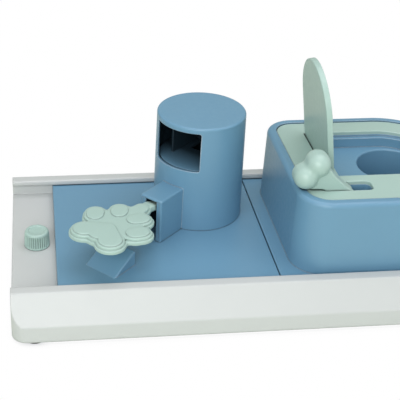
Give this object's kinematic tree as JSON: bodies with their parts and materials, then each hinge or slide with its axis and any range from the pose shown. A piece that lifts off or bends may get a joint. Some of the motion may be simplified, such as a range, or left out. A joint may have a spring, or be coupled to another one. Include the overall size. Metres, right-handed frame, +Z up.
{
  "type": "dog puzzle feeder toy",
  "caption": "Dog puzzle feeder: a long tray holds a treat tower released by a paw pedal and a round cup under a lid opened by a bone lever.",
  "frame": {"origin": "on the floor, at the centre of the bounding box's bottom, under the seam of the two modules", "axes": "+X along the tray from the treat tower to the lidded box, +Y from front to back, +Z up"},
  "size_m": [0.455, 0.23, 0.1913],
  "materials": {
    "tray_white": "satin",
    "blue": "satin",
    "mint": "satin",
    "foot_rubber": "matte",
    "steel": "zinc plated"
  },
  "bodies": {
    "tray": {"base_tray": "tray_white", "rubber_foot_1": "foot_rubber", "rubber_foot_2": "foot_rubber", "rubber_foot_3": "foot_rubber", "rubber_foot_4": "foot_rubber", "knob_bolt_left": "steel", "knob_bolt_right": "steel"},
    "knob_left": {"knob_left": "mint"},
    "knob_right": {"knob_right": "mint"},
    "tower_module": {"tower_plate": "blue", "treat_tower": "blue", "treat_hopper": "blue", "tower_screws": "steel", "pedal_axle": "steel", "pedal_spring": "steel"},
    "pedal": {"pedal_arm": "mint", "paw_plate": "mint", "paw_screws": "steel"},
    "lid_module": {"lid_housing": "blue", "treat_tray": "blue", "ring_cover": "mint", "cover_screws": "steel", "hinge_pin": "steel"},
    "lid": {"lid_lever": "mint"}
  },
  "joints": [
    {"name": "knob_left_turn", "type": "hinge", "parent": "tray", "child": "knob_left", "pos_m": [-0.205, 0, 0.03], "axis": [0, 0, 1], "continuous": true},
    {"name": "knob_right_turn", "type": "hinge", "parent": "tray", "child": "knob_right", "pos_m": [0.205, 0, 0.03], "axis": [0, 0, 1], "continuous": true},
    {"name": "tower_module_slide", "type": "slide", "parent": "tray", "child": "tower_module", "axis": [1, 0, 0], "range_m": [-0.004, 0]},
    {"name": "lid_module_slide", "type": "slide", "parent": "tray", "child": "lid_module", "axis": [1, 0, 0], "range_m": [0, 0.004]},
    {"name": "pedal_press", "type": "hinge", "parent": "tower_module", "child": "pedal", "pos_m": [-0.07521, 0.01479, 0.0649], "axis": [0.7071, -0.7071, 0], "range_deg": [0, 12], "stiffness_Nm_per_rad": 0.15, "springref_deg": -20.05, "deforming": ["pedal_spring"]},
    {"name": "lid_turn", "type": "hinge", "parent": "lid_module", "child": "lid", "pos_m": [0.057, -0.049, 0.0934], "axis": [0, 1, 0], "range_deg": [0, 98]}
  ]
}
